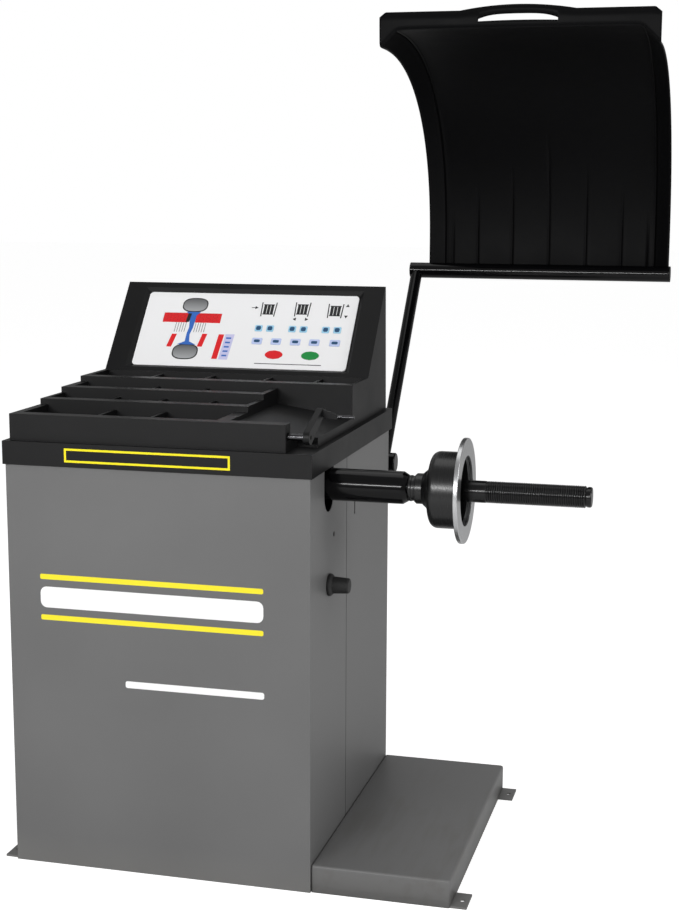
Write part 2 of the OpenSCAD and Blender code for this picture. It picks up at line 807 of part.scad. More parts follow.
module pipe_caps() {
  color([0.05, 0.05, 0.05]) for (s = [0, 1]) translate([s == 0 ? pipe_l : pipe_end, pipe_y, pipe_z])
    rotate([0, s == 0 ? 90 : -90, 0]) {
      cylinder(h = 2, r = pipe_r);
      translate([0, 0, 2]) cylinder(h = 12, r = pipe_r - 2);
    }
}

// a point on the hood's curve; a is 0 at its rear foot and 90 at its front edge
function hood_pt(a, g) = [curve_y + (hood_run - g) * cos(a), curve_z + (hood_rise - g) * sin(a)];

module hood_band(g0, g1) {
  foot = pipe_z - 6;
  polygon(concat(
    [[curve_y + hood_run - g0, foot]], [for (a = [0:6:90]) hood_pt(a, g0)],
    [for (a = [90:-6:0]) hood_pt(a, g1)], [[curve_y + hood_run - g1, foot]]));
}

module hood_guard() {
  top = curve_z + hood_rise;
  mid = guard_l + hood_w / 2;
  color([0.05, 0.05, 0.05]) difference() {
    union() {
      slab_x(guard_l, guard_l + hood_w) hood_band(0, guard_t);
      for (x = [guard_l, guard_l + hood_w - guard_t]) slab_x(x, x + guard_t) difference() {
        hood_band(0, cheek);
        translate([pipe_y, pipe_z]) circle(pipe_r + 1);
      }
      translate([0, curve_y + guard_t, 0]) rotate([90, 0, 0]) linear_extrude(guard_t) polygon(
        concat([[guard_l, top - cheek], [guard_l, top + lip_rise]],
          [for (t = [-1:0.2:1]) [mid + 112 * t, top + lip_rise + 10 * (1 - t * t)]],
          [[guard_l + hood_w, top + lip_rise], [guard_l + hood_w, top - cheek],
           [guard_l + hood_w - guard_t, top - cheek], [guard_l + hood_w - guard_t, top - guard_t],
           [guard_l + guard_t, top - guard_t], [guard_l + guard_t, top - cheek]]));
    }
    // hand slot in the front lip
    translate([mid, curve_y - 1, top + 12]) rotate([-90, 0, 0]) linear_extrude(10)
      square([154, 12], center = true);
    for (x = hood_screw_x) rod_y(x, curve_y + hood_run - 10, 20, 2.5, pipe_z);
  }
}

// button-head screws from behind the sheet into the pipe, each with its spacer
module hood_screws() {
  back = curve_y + hood_run;
  color("silver") for (x = hood_screw_x) {
    rod_y(x, back, 3, 5, pipe_z);
    rod_y(x, back - guard_t, guard_t, 2.5, pipe_z);
    difference() {
      rod_y(x, pipe_y + 5, back - guard_t - pipe_y - 5, 6, pipe_z);
      rod_x(x - 10, x + 10, pipe_r, pipe_y, pipe_z);
    }
  }
}

// ---- side fittings --------------------------------------------------------------------------------

module accessory_peg() {
  color([0.06, 0.06, 0.06]) turned([
    [0, cab_r - 12], [7.9, cab_r - 12], [7.9, cab_r], [21, cab_r], [21, cab_r + 5],
    [18, cab_r + 8], [16, cab_r + 9], [14.2, cab_r + 38], [12.5, cab_r + 40], [0, cab_r + 40]],
    axis_y, 554);
}

rocker_in = 6;    // rocker's axis behind the cabinet's side
rocker_pin = 2;

module power_switch() {
  color([0.08, 0.08, 0.08]) difference() {
    union() {
      block([cab_l - 1.5, 165, 596], [cab_l, 195, 634]);
      block([cab_l, 169.2, 600.2], [cab_l + 22, 190.8, 629.8]);
    }
    block([cab_l - 3, 172, 603], [cab_l + 13, 188, 627]);
    rod_y(cab_l + rocker_in, 170, 20, rocker_pin + run_fit, 615);
  }
}

// rocker tilted to its off side; it turns about an axis along Y
module power_rocker() {
  color("red") translate([cab_l + rocker_in, 180, 615]) {
    rotate([-90, 0, 0]) cylinder(h = 19, r = rocker_pin, center = true);
    rotate([0, -8, 0]) rotate([90, 0, 0])
    linear_extrude(15, center = true) polygon([[-9, -10.4], [-7, 0], [-9, 10.4], [0, 10], [4, 0],
                                               [0, -10]]);
  }
}

module mains_inlet() {
  color([0.08, 0.08, 0.08]) difference() {
    union() {
      block([cab_l - 2, 158, 529], [cab_l, 202, 571]);
      block([cab_l, 166.2, 533.2], [cab_l + 24, 193.8, 566.8]);
    }
    block([cab_l - 3, 169, 541], [cab_l + 18, 191, 559]);
  }
}

base_pan();
wheel_platform();
floor_lugs();
front_shell();
rear_cover();
cover_screws();
top_frame();
top_cover();
head_rear_panel();
control_panel();
readouts();
computer_board();
stop_button();
start_button();
key_distance_down();
key_distance_up();
key_width_down();
key_width_up();
key_diameter_down();
key_diameter_up();
key_unit();
key_fine();
key_mode();
key_split();
key_recalc();
support_post();
vibration_frame();
force_sensors();
spindle_housing();
spindle_bearings();
spindle_shaft();
flange_cup();
face_ring();
threaded_shaft();
spindle_pulley();
encoder_disc();
encoder_sensor();
drive_motor();
motor_bracket();
motor_pulley();
drive_belt();
gauge_bushes();
gauge_sensor();
gauge_carriage();
gauge_rod();
gauge_arm();
gauge_pin();
hood_bracket();
hood_spring();
hood_switch();
hood_shaft();
hood_arm();
hood_pipe();
pipe_caps();
hood_guard();
hood_screws();
accessory_peg();
power_switch();
power_rocker();
mains_inlet();
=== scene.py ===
import math

import bmesh
import bpy
from mathutils import Matrix, Vector


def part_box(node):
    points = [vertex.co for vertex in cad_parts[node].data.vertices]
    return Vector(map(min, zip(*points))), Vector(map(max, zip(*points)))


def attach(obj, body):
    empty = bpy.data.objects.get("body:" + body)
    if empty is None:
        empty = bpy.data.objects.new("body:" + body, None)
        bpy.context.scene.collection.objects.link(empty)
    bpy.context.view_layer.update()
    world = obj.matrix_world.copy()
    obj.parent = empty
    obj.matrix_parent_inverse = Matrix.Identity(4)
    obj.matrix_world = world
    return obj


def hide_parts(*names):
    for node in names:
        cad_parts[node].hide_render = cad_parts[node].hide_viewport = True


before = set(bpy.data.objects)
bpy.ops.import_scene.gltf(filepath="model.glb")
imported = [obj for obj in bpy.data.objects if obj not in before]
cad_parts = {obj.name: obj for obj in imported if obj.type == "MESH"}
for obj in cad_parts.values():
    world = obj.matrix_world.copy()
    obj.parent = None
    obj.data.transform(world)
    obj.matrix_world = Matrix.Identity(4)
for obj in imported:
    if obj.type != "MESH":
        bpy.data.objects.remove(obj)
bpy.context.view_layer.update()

# ---- The studio --------------------------------------------------------------------------------
# A pale matt floor, a white backdrop and soft light from large panels. The camera stands in front
# of the machine and a little to its right, at about chest height.

MM = 0.001


def srgb(code):
    """An sRGB hex colour as linear RGBA."""
    parts = [int(code[i:i + 2], 16) / 255 for i in (1, 3, 5)]
    return [p / 12.92 if p <= 0.04045 else ((p + 0.055) / 1.055) ** 2.4 for p in parts] + [1.0]


def add(tree, kind, sockets=(), **settings):
    """Adds one shader node with its settings, socket values and links."""
    node = tree.nodes.new("ShaderNode" + kind)
    for name, value in settings.items():
        setattr(node, name, value)
    for name, value in dict(sockets).items():
        if isinstance(value, bpy.types.NodeSocket):
            tree.links.new(value, node.inputs[name])
        else:
            node.inputs[name].default_value = value
    return node


def new_material(name, colour, roughness, metallic=0.0):
    """A material with its surface shader, ready for its pattern nodes."""
    material = bpy.data.materials.new(name)
    material.use_nodes = True
    shader = material.node_tree.nodes["Principled BSDF"]
    shader.inputs["Base Color"].default_value = srgb(colour)
    shader.inputs["Roughness"].default_value = roughness
    shader.inputs["Metallic"].default_value = metallic
    return material, material.node_tree, shader


FLOOR_SIZE = 60.0           # in metres
FLOOR_GLOW = 0.62
floor_mesh = bpy.data.meshes.new("floor")
half = FLOOR_SIZE / 2
floor_mesh.from_pydata([(-half, -half, 0), (half, -half, 0), (half, half, 0), (-half, half, 0)], [],
                       [(0, 1, 2, 3)])
floor = bpy.data.objects.new("floor", floor_mesh)
bpy.context.scene.collection.objects.link(floor)
# Matt paint gives an even pale tone with almost no gloss. Seen directly, the floor also glows until
# it is white, and the light that it throws on the machine is the paint's alone.
matt_floor, floor_tree, floor_shader = new_material("matt_floor_paint", "#F6F6F6", 0.85)
floor_shader.inputs["Specular IOR Level"].default_value = 0.1
floor_shader.inputs["Emission Color"].default_value = srgb("#FFFFFF")
looked_at = add(floor_tree, "LightPath").outputs["Is Camera Ray"]
whiten = add(floor_tree, "MapRange", {"Value": looked_at, "To Min": 0.0,
                                       "To Max": FLOOR_GLOW})
floor_tree.links.new(whiten.outputs["Result"], floor_shader.inputs["Emission Strength"])
floor_mesh.materials.append(matt_floor)

BACKDROP_LIGHT = 0.4        # of the strength that the camera sees
world = bpy.data.worlds.new("studio")
world.use_nodes = True
backdrop = world.node_tree.nodes["Background"]
backdrop.inputs["Color"].default_value = srgb("#FFFFFF")
# the backdrop looks pure white, and the light that it gives is gentler
seen = add(world.node_tree, "LightPath").outputs["Is Camera Ray"]
strength = add(world.node_tree, "MapRange", {"Value": seen, "To Min": BACKDROP_LIGHT,
                                             "To Max": 1.0})
world.node_tree.links.new(strength.outputs["Result"], backdrop.inputs["Strength"])
bpy.context.scene.world = world
bpy.context.scene.view_settings.view_transform = "Standard"

# each soft panel: place, width and height in metres, power in watts; all point at the cabinet's top
AIM = Vector((0.0, 0.0, 0.8))
for name, place, width, height, power in [
    ("strip_panel", (-0.9, -4.2, 1.9), 3.0, 0.2, 108.0),
    ("side_panel", (3.4, -0.6, 1.9), 1.2, 2.2, 44.0),
    ("top_panel", (0.2, 0.6, 4.2), 2.6, 2.6, 24.0),
]:
    light = bpy.data.lights.new(name, "AREA")
    light.shape = "RECTANGLE"
    light.size, light.size_y = width, height
    light.energy = power
    lamp = bpy.data.objects.new(name, light)
    bpy.context.scene.collection.objects.link(lamp)
    lamp.matrix_world = (Matrix.Translation(place)
                         @ (AIM - Vector(place)).to_track_quat("-Z", "Y").to_matrix().to_4x4())

CAMERA_PLACE = (0.921, -2.995, 1.290)
CAMERA_TURN, CAMERA_PITCH, CAMERA_ROLL = 14.71, -9.59, 0.20     # in degrees
SENSOR_HEIGHT, FOCAL_LENGTH = 36.0, 63.55                       # in mm
camera_data = bpy.data.cameras.new("camera")
camera_data.sensor_fit = "VERTICAL"
camera_data.sensor_height = SENSOR_HEIGHT
camera_data.lens = FOCAL_LENGTH
camera = bpy.data.objects.new("camera", camera_data)
bpy.context.scene.collection.objects.link(camera)
camera.matrix_world = (Matrix.Translation(CAMERA_PLACE)
                       @ Matrix.Rotation(math.radians(CAMERA_TURN), 4, "Z")
                       @ Matrix.Rotation(math.radians(90 + CAMERA_PITCH), 4, "X")
                       @ Matrix.Rotation(math.radians(CAMERA_ROLL), 4, "Z"))
bpy.context.scene.camera = camera

# ---- Cabinet shells and floor lugs -------------------------------------------------------------
# Folded 2 mm sheet steel: a front shell with side wings, a rear cover screwed on behind them, and
# lugs welded to the foot. All are powder coated mid grey, which leaves a faint orange-peel skin.

ORANGE_PEEL = 1.8 * MM      # width of the coating's lumps
PEEL_DEPTH = 0.15 * MM
TONE_PATCH = 350 * MM       # how far the grey stays even before it drifts
DUST_TOP = 60 * MM          # floor dust thins out up to this height
STEEL_EDGE = 0.7 * MM       # radius that the coating leaves on a sheet's edge

# Powder coat on steel gives a half-matt mid grey. Its orange peel softens each highlight, and its
# tone drifts a little over a large sheet.
powder_coat, tree, shader = new_material("powder_coated_steel", "#666666", 0.5)
place = add(tree, "TexCoord").outputs["Object"]
lumps = add(tree, "TexNoise", {"Vector": place, "Scale": 1 / ORANGE_PEEL, "Detail": 1.0})
drift = add(tree, "TexNoise", {"Vector": place, "Scale": 1 / TONE_PATCH, "Detail": 3.0})
tint = add(tree, "ValToRGB", {"Fac": drift.outputs["Fac"]})
tint.color_ramp.elements[0].position, tint.color_ramp.elements[1].position = 0.3, 0.7
tint.color_ramp.elements[0].color = srgb("#5F5F5F")
tint.color_ramp.elements[1].color = srgb("#666666")
height = add(tree, "SeparateXYZ", {"Vector": place})
dust = add(tree, "MapRange", {"Value": height.outputs["Z"], "From Min": 0.0, "From Max": DUST_TOP,
                              "To Min": 0.22, "To Max": 0.0})
dusty = add(tree, "Mix", {0: dust.outputs["Result"], 6: tint.outputs["Color"],
                          7: srgb("#7C7A75")}, data_type="RGBA")
tree.links.new(dusty.outputs[2], shader.inputs["Base Color"])
shine = add(tree, "MapRange", {"Value": drift.outputs["Fac"], "To Min": 0.42, "To Max": 0.56})
tree.links.new(shine.outputs["Result"], shader.inputs["Roughness"])
skin = add(tree, "Bump", {"Height": lumps.outputs["Fac"], "Strength": 0.12,
                          "Distance": PEEL_DEPTH})
tree.links.new(skin.outputs["Normal"], shader.inputs["Normal"])


def soften(node, radius, segments=2, angle=32):
    """Rounds a CAD part's hard edges by modifiers, which leave its own mesh as it is."""
    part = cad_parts[node]
    weld = part.modifiers.new("weld", "WELD")
    weld.merge_threshold = 0.01 * MM
    flats = part.modifiers.new("flats", "DECIMATE")
    flats.decimate_type = "DISSOLVE"
    flats.angle_limit = math.radians(0.5)
    edge = part.modifiers.new("edge", "BEVEL")
    edge.width = radius
    edge.segments = segments
    edge.limit_method = "ANGLE"
    edge.angle_limit = math.radians(angle)
    lean = part.modifiers.new("normals", "WEIGHTED_NORMAL")
    lean.keep_sharp = True
    for face in part.data.polygons:
        face.use_smooth = True


def coat(node, material):
    """Gives a CAD part its real finish."""
    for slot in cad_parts[node].material_slots:
        slot.material = material


for node in ("front_shell", "rear_cover", "floor_lugs"):
    coat(node, powder_coat)
    soften(node, STEEL_EDGE)

# ---- Wheel platform ----------------------------------------------------------------------------
# One sheet folded down on all four sides, with soft press-brake bends, welded to the cabinet's
# foot. Wheels rolled on and off it have scuffed the coating.


def new_piece(name, shape, body, material, replaces=(), sharp=35):
    """Turns a bmesh into a piece of the machine that rides on a body."""
    bmesh.ops.recalc_face_normals(shape, faces=shape.faces)
    mesh = bpy.data.meshes.new(name)
    shape.to_mesh(mesh)
    shape.free()
    mesh.shade_smooth()
    mesh.set_sharp_from_angle(angle=math.radians(sharp))
    piece = bpy.data.objects.new(name, mesh)
    bpy.context.scene.collection.objects.link(piece)
    mesh.materials.append(material)
    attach(piece, body)
    if replaces:
        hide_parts(*replaces)
    return piece


def add_block(shape, low, high):
    """A box between two corners, added to a shape."""
    low, high = Vector(low), Vector(high)
    middle, size = (low + high) / 2, high - low
    matrix = Matrix.Translation(middle) @ Matrix.Diagonal((*size, 1))
    bmesh.ops.create_cube(shape, size=1.0, matrix=matrix)


PLATFORM_SHEET = 2.0 * MM
FOLD_RADIUS = 5.0 * MM      # outside radius of a press-brake bend
deck_low, deck_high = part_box("wheel_platform")
deck = bmesh.new()
add_block(deck, deck_low, deck_high)
bottom = [f for f in deck.faces if f.normal.z < -0.5]
bmesh.ops.delete(deck, geom=bottom, context="FACES_ONLY")
folds = [e for e in deck.edges if max(v.co.z for v in e.verts) > deck_low.z + MM]
bmesh.ops.bevel(deck, geom=folds, offset=FOLD_RADIUS, segments=5, profile=0.5, affect="EDGES")

# Scuffed powder coat is the cabinet's grey with browner, rubbed marks where tyres have rolled.
SCUFFS_ACROSS, SCUFFS_ALONG = 60, 9     # per metre: marks some 17 mm wide and 110 mm long
WORN_PATCHES = 7.0                      # per metre: patches some 140 mm across
scuffed_coat = powder_coat.copy()
scuffed_coat.name = "scuffed_powder_coat"
tree = scuffed_coat.node_tree
shader = tree.nodes["Principled BSDF"]
place = add(tree, "TexCoord").outputs["Object"]
# rubbing runs front to rear, so the marks are stretched along Y
drag = add(tree, "Mapping", {"Vector": place,
                             "Scale": (SCUFFS_ACROSS, SCUFFS_ALONG, SCUFFS_ACROSS)})
marks = add(tree, "TexNoise", {"Vector": drag.outputs["Vector"], "Scale": 1.0, "Detail": 5.0})
where = add(tree, "TexNoise", {"Vector": place, "Scale": WORN_PATCHES, "Detail": 2.0})
worn = add(tree, "Math", {0: marks.outputs["Fac"], 1: where.outputs["Fac"]}, operation="MULTIPLY")
strength = add(tree, "MapRange", {"Value": worn.outputs[0], "From Min": 0.27, "From Max": 0.42,
                                  "To Min": 0.0, "To Max": 0.35})
plain = shader.inputs["Base Color"].links[0].from_socket
rubbed = add(tree, "Mix", {0: strength.outputs["Result"], 6: plain, 7: srgb("#585652")},
             data_type="RGBA")
tree.links.new(rubbed.outputs[2], shader.inputs["Base Color"])
platform = new_piece("platform_sheet", deck, "cabinet", scuffed_coat,
                     replaces=["wheel_platform"])
steel = platform.modifiers.new("sheet", "SOLIDIFY")
steel.thickness = PLATFORM_SHEET
steel.offset = -1.0         # inwards, so that the outside stays true

# ---- Weight tray and display head --------------------------------------------------------------
# One large black ABS moulding with stepped rows of bins, a recess for tools and a sloping head. Its
# fine spark-eroded texture scatters light, and its edges are rounded by the mould.

TEXTURE_GRAIN = 1.1 * MM    # drawn coarser than the real 0.3 mm so that it shows
TEXTURE_DEPTH = 0.12 * MM
GLOSS_PATCH = 120 * MM      # how far the gloss stays even before it drifts
TRAY_EDGE, SMALL_EDGE = 1.3 * MM, 0.4 * MM

# Textured ABS gives a deep black with low, broad highlights that the grain breaks up, a little
# glossier in one place than in the next.
black_abs, tree, shader = new_material("textured_black_ABS", "#09090A", 0.42)
shader.inputs["Specular IOR Level"].default_value = 0.24
place = add(tree, "TexCoord").outputs["Object"]
grain = add(tree, "TexVoronoi", {"Vector": place, "Scale": 1 / TEXTURE_GRAIN})
cloud = add(tree, "TexNoise", {"Vector": place, "Scale": 1 / GLOSS_PATCH, "Detail": 4.0})
tone = add(tree, "ValToRGB", {"Fac": cloud.outputs["Fac"]})
tone.color_ramp.elements[0].position, tone.color_ramp.elements[1].position = 0.35, 0.7
tone.color_ramp.elements[0].color = srgb("#070708")
tone.color_ramp.elements[1].color = srgb("#0D0D0E")
tree.links.new(tone.outputs["Color"], shader.inputs["Base Color"])
gloss = add(tree, "MapRange", {"Value": cloud.outputs["Fac"], "To Min": 0.38, "To Max": 0.56})
tree.links.new(gloss.outputs["Result"], shader.inputs["Roughness"])
pebble = add(tree, "Bump", {"Height": grain.outputs["Distance"], "Strength": 0.18,
                            "Distance": TEXTURE_DEPTH})
tree.links.new(pebble.outputs["Normal"], shader.inputs["Normal"])

# The same ABS with a plain yellow pinstripe frame printed on its skirt: the middle and size of the
# frame's outer edge, and the width of its line, in metres.
FRAME_X, FRAME_Z = -0.146, 0.798
FRAME_WIDTH, FRAME_HEIGHT, FRAME_LINE = 0.32, 0.026, 0.004
skirt_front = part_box("top_cover")[0].y
tray_abs = black_abs.copy()
tray_abs.name = "striped_black_ABS"
tree = tray_abs.node_tree
shader = tree.nodes["Principled BSDF"]
split = add(tree, "SeparateXYZ", {"Vector": add(tree, "TexCoord").outputs["Object"]})


def print_mask(width, height):
    """White on a rectangle of the skirt's front, black elsewhere."""
    across = add(tree, "Math", {0: split.outputs["X"], 1: FRAME_X, 2: width / 2},
                 operation="COMPARE")
    upward = add(tree, "Math", {0: split.outputs["Z"], 1: FRAME_Z, 2: height / 2},
                 operation="COMPARE")
    front = add(tree, "Math", {0: split.outputs["Y"], 1: skirt_front, 2: MM},
                operation="COMPARE")
    flat = add(tree, "Math", {0: across.outputs[0], 1: upward.outputs[0]}, operation="MULTIPLY")
    return add(tree, "Math", {0: flat.outputs[0], 1: front.outputs[0]},
               operation="MULTIPLY").outputs[0]


frame_line = add(tree, "Math", {0: print_mask(FRAME_WIDTH, FRAME_HEIGHT),
                                1: print_mask(FRAME_WIDTH - 2 * FRAME_LINE,
                                              FRAME_HEIGHT - 2 * FRAME_LINE)},
                 operation="SUBTRACT")
plain = shader.inputs["Base Color"].links[0].from_socket
striped = add(tree, "Mix", {0: frame_line.outputs[0], 6: plain, 7: srgb("#F2E21A")},
              data_type="RGBA")
tree.links.new(striped.outputs[2], shader.inputs["Base Color"])

coat("top_cover", tray_abs)
soften("top_cover", TRAY_EDGE, segments=3)
for node in ("head_rear_panel", "power_switch", "mains_inlet", "gauge_sensor", "encoder_sensor",
             "hood_switch"):
    coat(node, black_abs)
    soften(node, SMALL_EDGE)

# ---- Control panel -----------------------------------------------------------------------------
# A white polyester overlay on a flat plate, screen printed with a wheel's section, bar lamps and
# small rims, and with two red windows over the numeric readouts. Each printed colour is a film of
# ink with its own thickness, and what lies over another starts a little higher.

FACE_TILT = math.radians(50.3)     # slope of the head's face
PANEL_PLATE = 3.0 * MM
INK, OVERPRINT = 0.15, 0.12        # in mm: a film, thicker than real, and where the next begins
face_out = Vector((0, -math.sin(FACE_TILT), math.cos(FACE_TILT)))
face_up = Vector((0, math.cos(FACE_TILT), math.sin(FACE_TILT)))
panel_low, panel_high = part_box("control_panel")
panel_middle = (panel_low + panel_high) / 2 + face_out * PANEL_PLATE / 2


def on_panel(x, up, out):
    """A point in mm from the panel's middle: along it, up it and out of it."""
    return panel_middle + Vector((x * MM, 0, 0)) + face_up * up * MM + face_out * out * MM


def add_print(shape, outline, base=0.0, film=INK):
    """A flat printed area or a thin plate on the panel, from an outline in mm."""
    sunk = 0.05             # its underside lies this far in what it is printed on
    lower = [shape.verts.new(on_panel(x, up, base - sunk)) for x, up in outline]
    upper = [shape.verts.new(on_panel(x, up, base + film)) for x, up in outline]
    shape.faces.new(lower)
    shape.faces.new(upper)
    count = len(outline)
    for i in range(count):
        shape.faces.new((lower[i], lower[(i + 1) % count], upper[(i + 1) % count], upper[i]))


def box_outline(x, up, width, height, lean=0.0):
    """Corners of a rectangle, or of one that leans: its top moves right and its foot left."""
    half, rise = width / 2, height / 2
    return [(x - half - lean, up - rise), (x + half - lean, up - rise),
            (x + half + lean, up + rise), (x - half + lean, up + rise)]


def oval_outline(x, up, width, height, squareness=2.0, steps=40):
    """A rounded outline: squareness 2 is an ellipse, and more is squarer."""
    points = []
    for i in range(steps):
        angle = math.tau * i / steps
        c, s = math.cos(angle), math.sin(angle)
        points.append((x + width / 2 * math.copysign(abs(c) ** (2 / squareness), c),
                       up + height / 2 * math.copysign(abs(s) ** (2 / squareness), s)))
    return points


SCREEN_MESH = 0.8 * MM             # drawn coarser than a real screen's 0.1 mm


def even_finish(name, colour, roughness=0.32):
    """An ink, a film or a small moulding: one even colour, with a faint grain in its gloss."""
    material, tree, shader = new_material(name, colour, roughness)
    place = add(tree, "TexCoord").outputs["Object"]
    screen = add(tree, "TexNoise", {"Vector": place, "Scale": 1 / SCREEN_MESH, "Detail": 2.0})
    sheen = add(tree, "MapRange", {"Value": screen.outputs["Fac"], "To Min": roughness - 0.06,
                                   "To Max": roughness + 0.08})
    tree.links.new(sheen.outputs["Result"], shader.inputs["Roughness"])
    return material


# Polyester film is a clean white with a satin sheen.
overlay_white = even_finish("white_polyester_overlay", "#EFEFF0", 0.34)
coat("control_panel", overlay_white)
soften("control_panel", 0.25 * MM)

# Screen inks are flat, strong colours with much the same sheen as the film.
red_ink = even_finish("red_ink", "#DC0D17")
black_ink = even_finish("black_ink", "#101012")
charcoal_ink = even_finish("charcoal_ink", "#3A3A3E")
steel_blue_ink = even_finish("steel_blue_ink", "#2C66BC")
pale_ink = even_finish("lavender_ink", "#C6C5E6")

# Half-tone ink: the dots thin out down each tyre, so its grey runs from dark above to light below.
TYRE_PITCH = 92.0 * MM             # height at which the tint starts again, for the next tyre
TINT_HEIGHT = 40.0 * MM
tyre_ink = even_finish("grey_tyre_ink", "#77797C")
tree = tyre_ink.node_tree
shader = tree.nodes["Principled BSDF"]
place = add(tree, "SeparateXYZ", {"Vector": add(tree, "TexCoord").outputs["Object"]})
turns = add(tree, "Math", {0: place.outputs["Z"], 1: TYRE_PITCH}, operation="FLOORED_MODULO")
height = add(tree, "MapRange", {"Value": turns.outputs[0], "From Min": 0.0,
                                "From Max": TINT_HEIGHT})
tint = add(tree, "ValToRGB", {"Fac": height.outputs["Result"]})
tint.color_ramp.elements[0].color = srgb("#B4B6B8")
tint.color_ramp.elements[1].color = srgb("#2E2F31")
tree.links.new(tint.outputs["Color"], shader.inputs["Base Color"])


def print_on_panel(name, outlines, material, base=0.0):
    """One printed colour of the overlay as a piece."""
    shape = bmesh.new()
    for outline in outlines:
        add_print(shape, outline, base)
    return new_piece(name, shape, "cabinet", material)


# Wheel seen in section, in plain outline: a tyre above and below and the rim between them. All the
# places and sizes from here to the end of the section are in mm.
WHEEL_X = -124.0
TYRE_BORDER, TYRE_SQUARENESS = 5, 2.6
tyre_spots = [(WHEEL_X, 62, 52, 32), (WHEEL_X + 2, -58, 52, 34)]
print_on_panel("printed_tyre_edges",
               [oval_outline(x, up, w + TYRE_BORDER, h + TYRE_BORDER, TYRE_SQUARENESS)
                for x, up, w, h in tyre_spots], black_ink)
print_on_panel("printed_tyres",
               [oval_outline(x, up, w, h, TYRE_SQUARENESS) for x, up, w, h in tyre_spots],
               tyre_ink, OVERPRINT)
rim_outline = [(WHEEL_X - 16, 44), (WHEEL_X + 16, 44), (WHEEL_X + 8, 34), (WHEEL_X + 7, 4),
               (WHEEL_X + 3, -14), (WHEEL_X + 6, -32), (WHEEL_X + 22, -40), (WHEEL_X - 20, -40),
               (WHEEL_X - 4, -32), (WHEEL_X - 4, -12), (WHEEL_X - 2, 4), (WHEEL_X - 6, 34)]
print_on_panel("printed_rim", [rim_outline], steel_blue_ink, OVERPRINT)
# the hub in shade between the windows, and fine hatching on both sides of the rim below them
HATCH_PITCH, HATCH_LINE = 5.5, 0.9
HUB_BASE = 0.14                    # over the rim's ink
hatching = [box_outline(WHEEL_X + k * HATCH_PITCH, 4, HATCH_LINE, 24, 0.3)
            for k in (-6, -5, -4, -3, -2, 2, 3, 4, 5, 6)]
print_on_panel("printed_hub", [box_outline(WHEEL_X - 8, 29, 8, 22, 1)] + hatching, black_ink,
               HUB_BASE)
# bar lamps: one on each side of the lower tyre, and a tall one beside a pale scale with five marks
print_on_panel("printed_bars", [
    box_outline(WHEEL_X - 34, -30, 11, 33, 3), box_outline(WHEEL_X + 34, -28, 11, 33, 3),
    box_outline(-52, -43, 12, 62, 2)], red_ink)
SCALE_X, SCALE_UP, MARK_PITCH = -33, -43, 11
print_on_panel("printed_scale", [box_outline(SCALE_X, SCALE_UP, 20, 64, 2)], pale_ink)
print_on_panel("printed_scale_marks", [
    box_outline(SCALE_X + 0.4 * k, SCALE_UP + MARK_PITCH * k, 11, 4) for k in (-2, -1, 0, 1, 2)],
    steel_blue_ink, OVERPRINT)


def rim_marks(x, up):
    """A small rim in section: two flanges and the barrel's lines between them."""
    marks = [box_outline(x + side * 15, up, 2.4, 36, side * 0.8) for side in (-1, 1)]
    marks += [box_outline(x + step, up, 6.4, 24) for step in (-7.6, 0, 7.6)]
    marks += [box_outline(x, up + side * 12, 24, 2.4) for side in (-1, 1)]
    return marks


def arrow(x, up, dx, dy):
    """A small triangle pointing along (dx, dy)."""
    return [(x + dx * 4, up + dy * 4), (x - dx * 3 - dy * 4, up - dy * 3 + dx * 4),
            (x - dx * 3 + dy * 4, up - dy * 3 - dx * 4)]


# three small rims with arrows for the sizes that the keys below set, and a rule along the foot
icons = rim_marks(41, 55) + rim_marks(115, 57) + rim_marks(187, 55)
icons += [arrow(14, 59, 1, 0), box_outline(7, 59, 8, 1.6)]
icons += [arrow(102, 32, -1, 0), arrow(128, 32, 1, 0)]
icons += [arrow(212, 69, 0, 1), arrow(212, 41, 0, -1)]
print_on_panel("printed_rims", icons, black_ink)
print_on_panel("printed_rule", [box_outline(108, -82, 144, 1.8)], charcoal_ink)

# ---- Numeric readouts and circuit board --------------------------------------------------------
# Seven-segment displays behind deep red acrylic windows, soldered to a green board that hangs on
# four standoffs behind the panel.

# Tinted acrylic gives a deep, even red under a clear gloss.
red_acrylic, tree, shader = new_material("red_acrylic_window", "#DC0D17", 0.16)
shader.inputs["Coat Weight"].default_value = 0.5
place = add(tree, "TexCoord").outputs["Object"]
haze = add(tree, "TexNoise", {"Vector": place, "Scale": 1 / (20 * MM), "Detail": 2.0})
depth = add(tree, "ValToRGB", {"Fac": haze.outputs["Fac"]})
depth.color_ramp.elements[0].color = srgb("#D00A15")
depth.color_ramp.elements[1].color = srgb("#E3121C")
tree.links.new(depth.outputs["Color"], shader.inputs["Base Color"])
coat("readouts", red_acrylic)
soften("readouts", 0.3 * MM)

